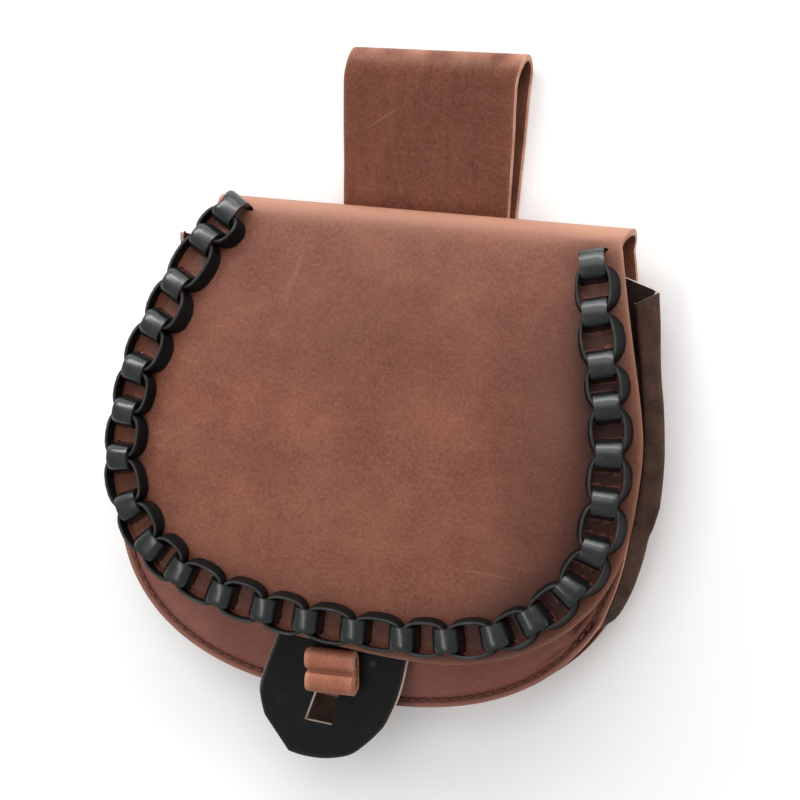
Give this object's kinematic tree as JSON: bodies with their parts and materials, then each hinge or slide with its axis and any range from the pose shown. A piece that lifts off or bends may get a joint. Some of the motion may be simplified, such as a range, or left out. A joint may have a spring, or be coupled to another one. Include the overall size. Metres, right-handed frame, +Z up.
{
  "type": "belt pouch",
  "caption": "Leather belt pouch with a domed front, gusset, folded-over flap trimmed with black laced rings, slotted closure tab with rolled toggle, and a belt loop behind.",
  "frame": {"origin": "under the middle of the pouch and its belt loop, on the surface that it lies on", "axes": "+X to the right of the flap, +Y towards the belt loop, +Z up out of the flap"},
  "size_m": [0.1954, 0.2486, 0.0445],
  "materials": {
    "brown_leather": "oiled, satin",
    "gusset_suede": "suede, matt",
    "black_leather": "waxed, half gloss",
    "tab_leather": "matt",
    "toggle_leather": "satin"
  },
  "bodies": {
    "root": {"back_and_flap": "brown_leather", "front_panel": "brown_leather", "belt_loop": "brown_leather", "gusset": "gusset_suede", "ring_01": "black_leather", "ring_02": "black_leather", "ring_03": "black_leather", "ring_04": "black_leather", "ring_05": "black_leather", "ring_06": "black_leather", "ring_07": "black_leather", "ring_08": "black_leather", "ring_09": "black_leather", "ring_10": "black_leather", "ring_11": "black_leather", "ring_12": "black_leather", "ring_13": "black_leather", "ring_14": "black_leather", "ring_15": "black_leather", "ring_16": "black_leather", "ring_17": "black_leather", "ring_18": "black_leather", "ring_19": "black_leather", "ring_20": "black_leather", "ring_21": "black_leather", "ring_22": "black_leather", "ring_23": "black_leather", "ring_24": "black_leather", "ring_25": "black_leather", "lace": "black_leather", "closure_tab": "tab_leather", "toggle": "toggle_leather"}
  },
  "joints": []
}
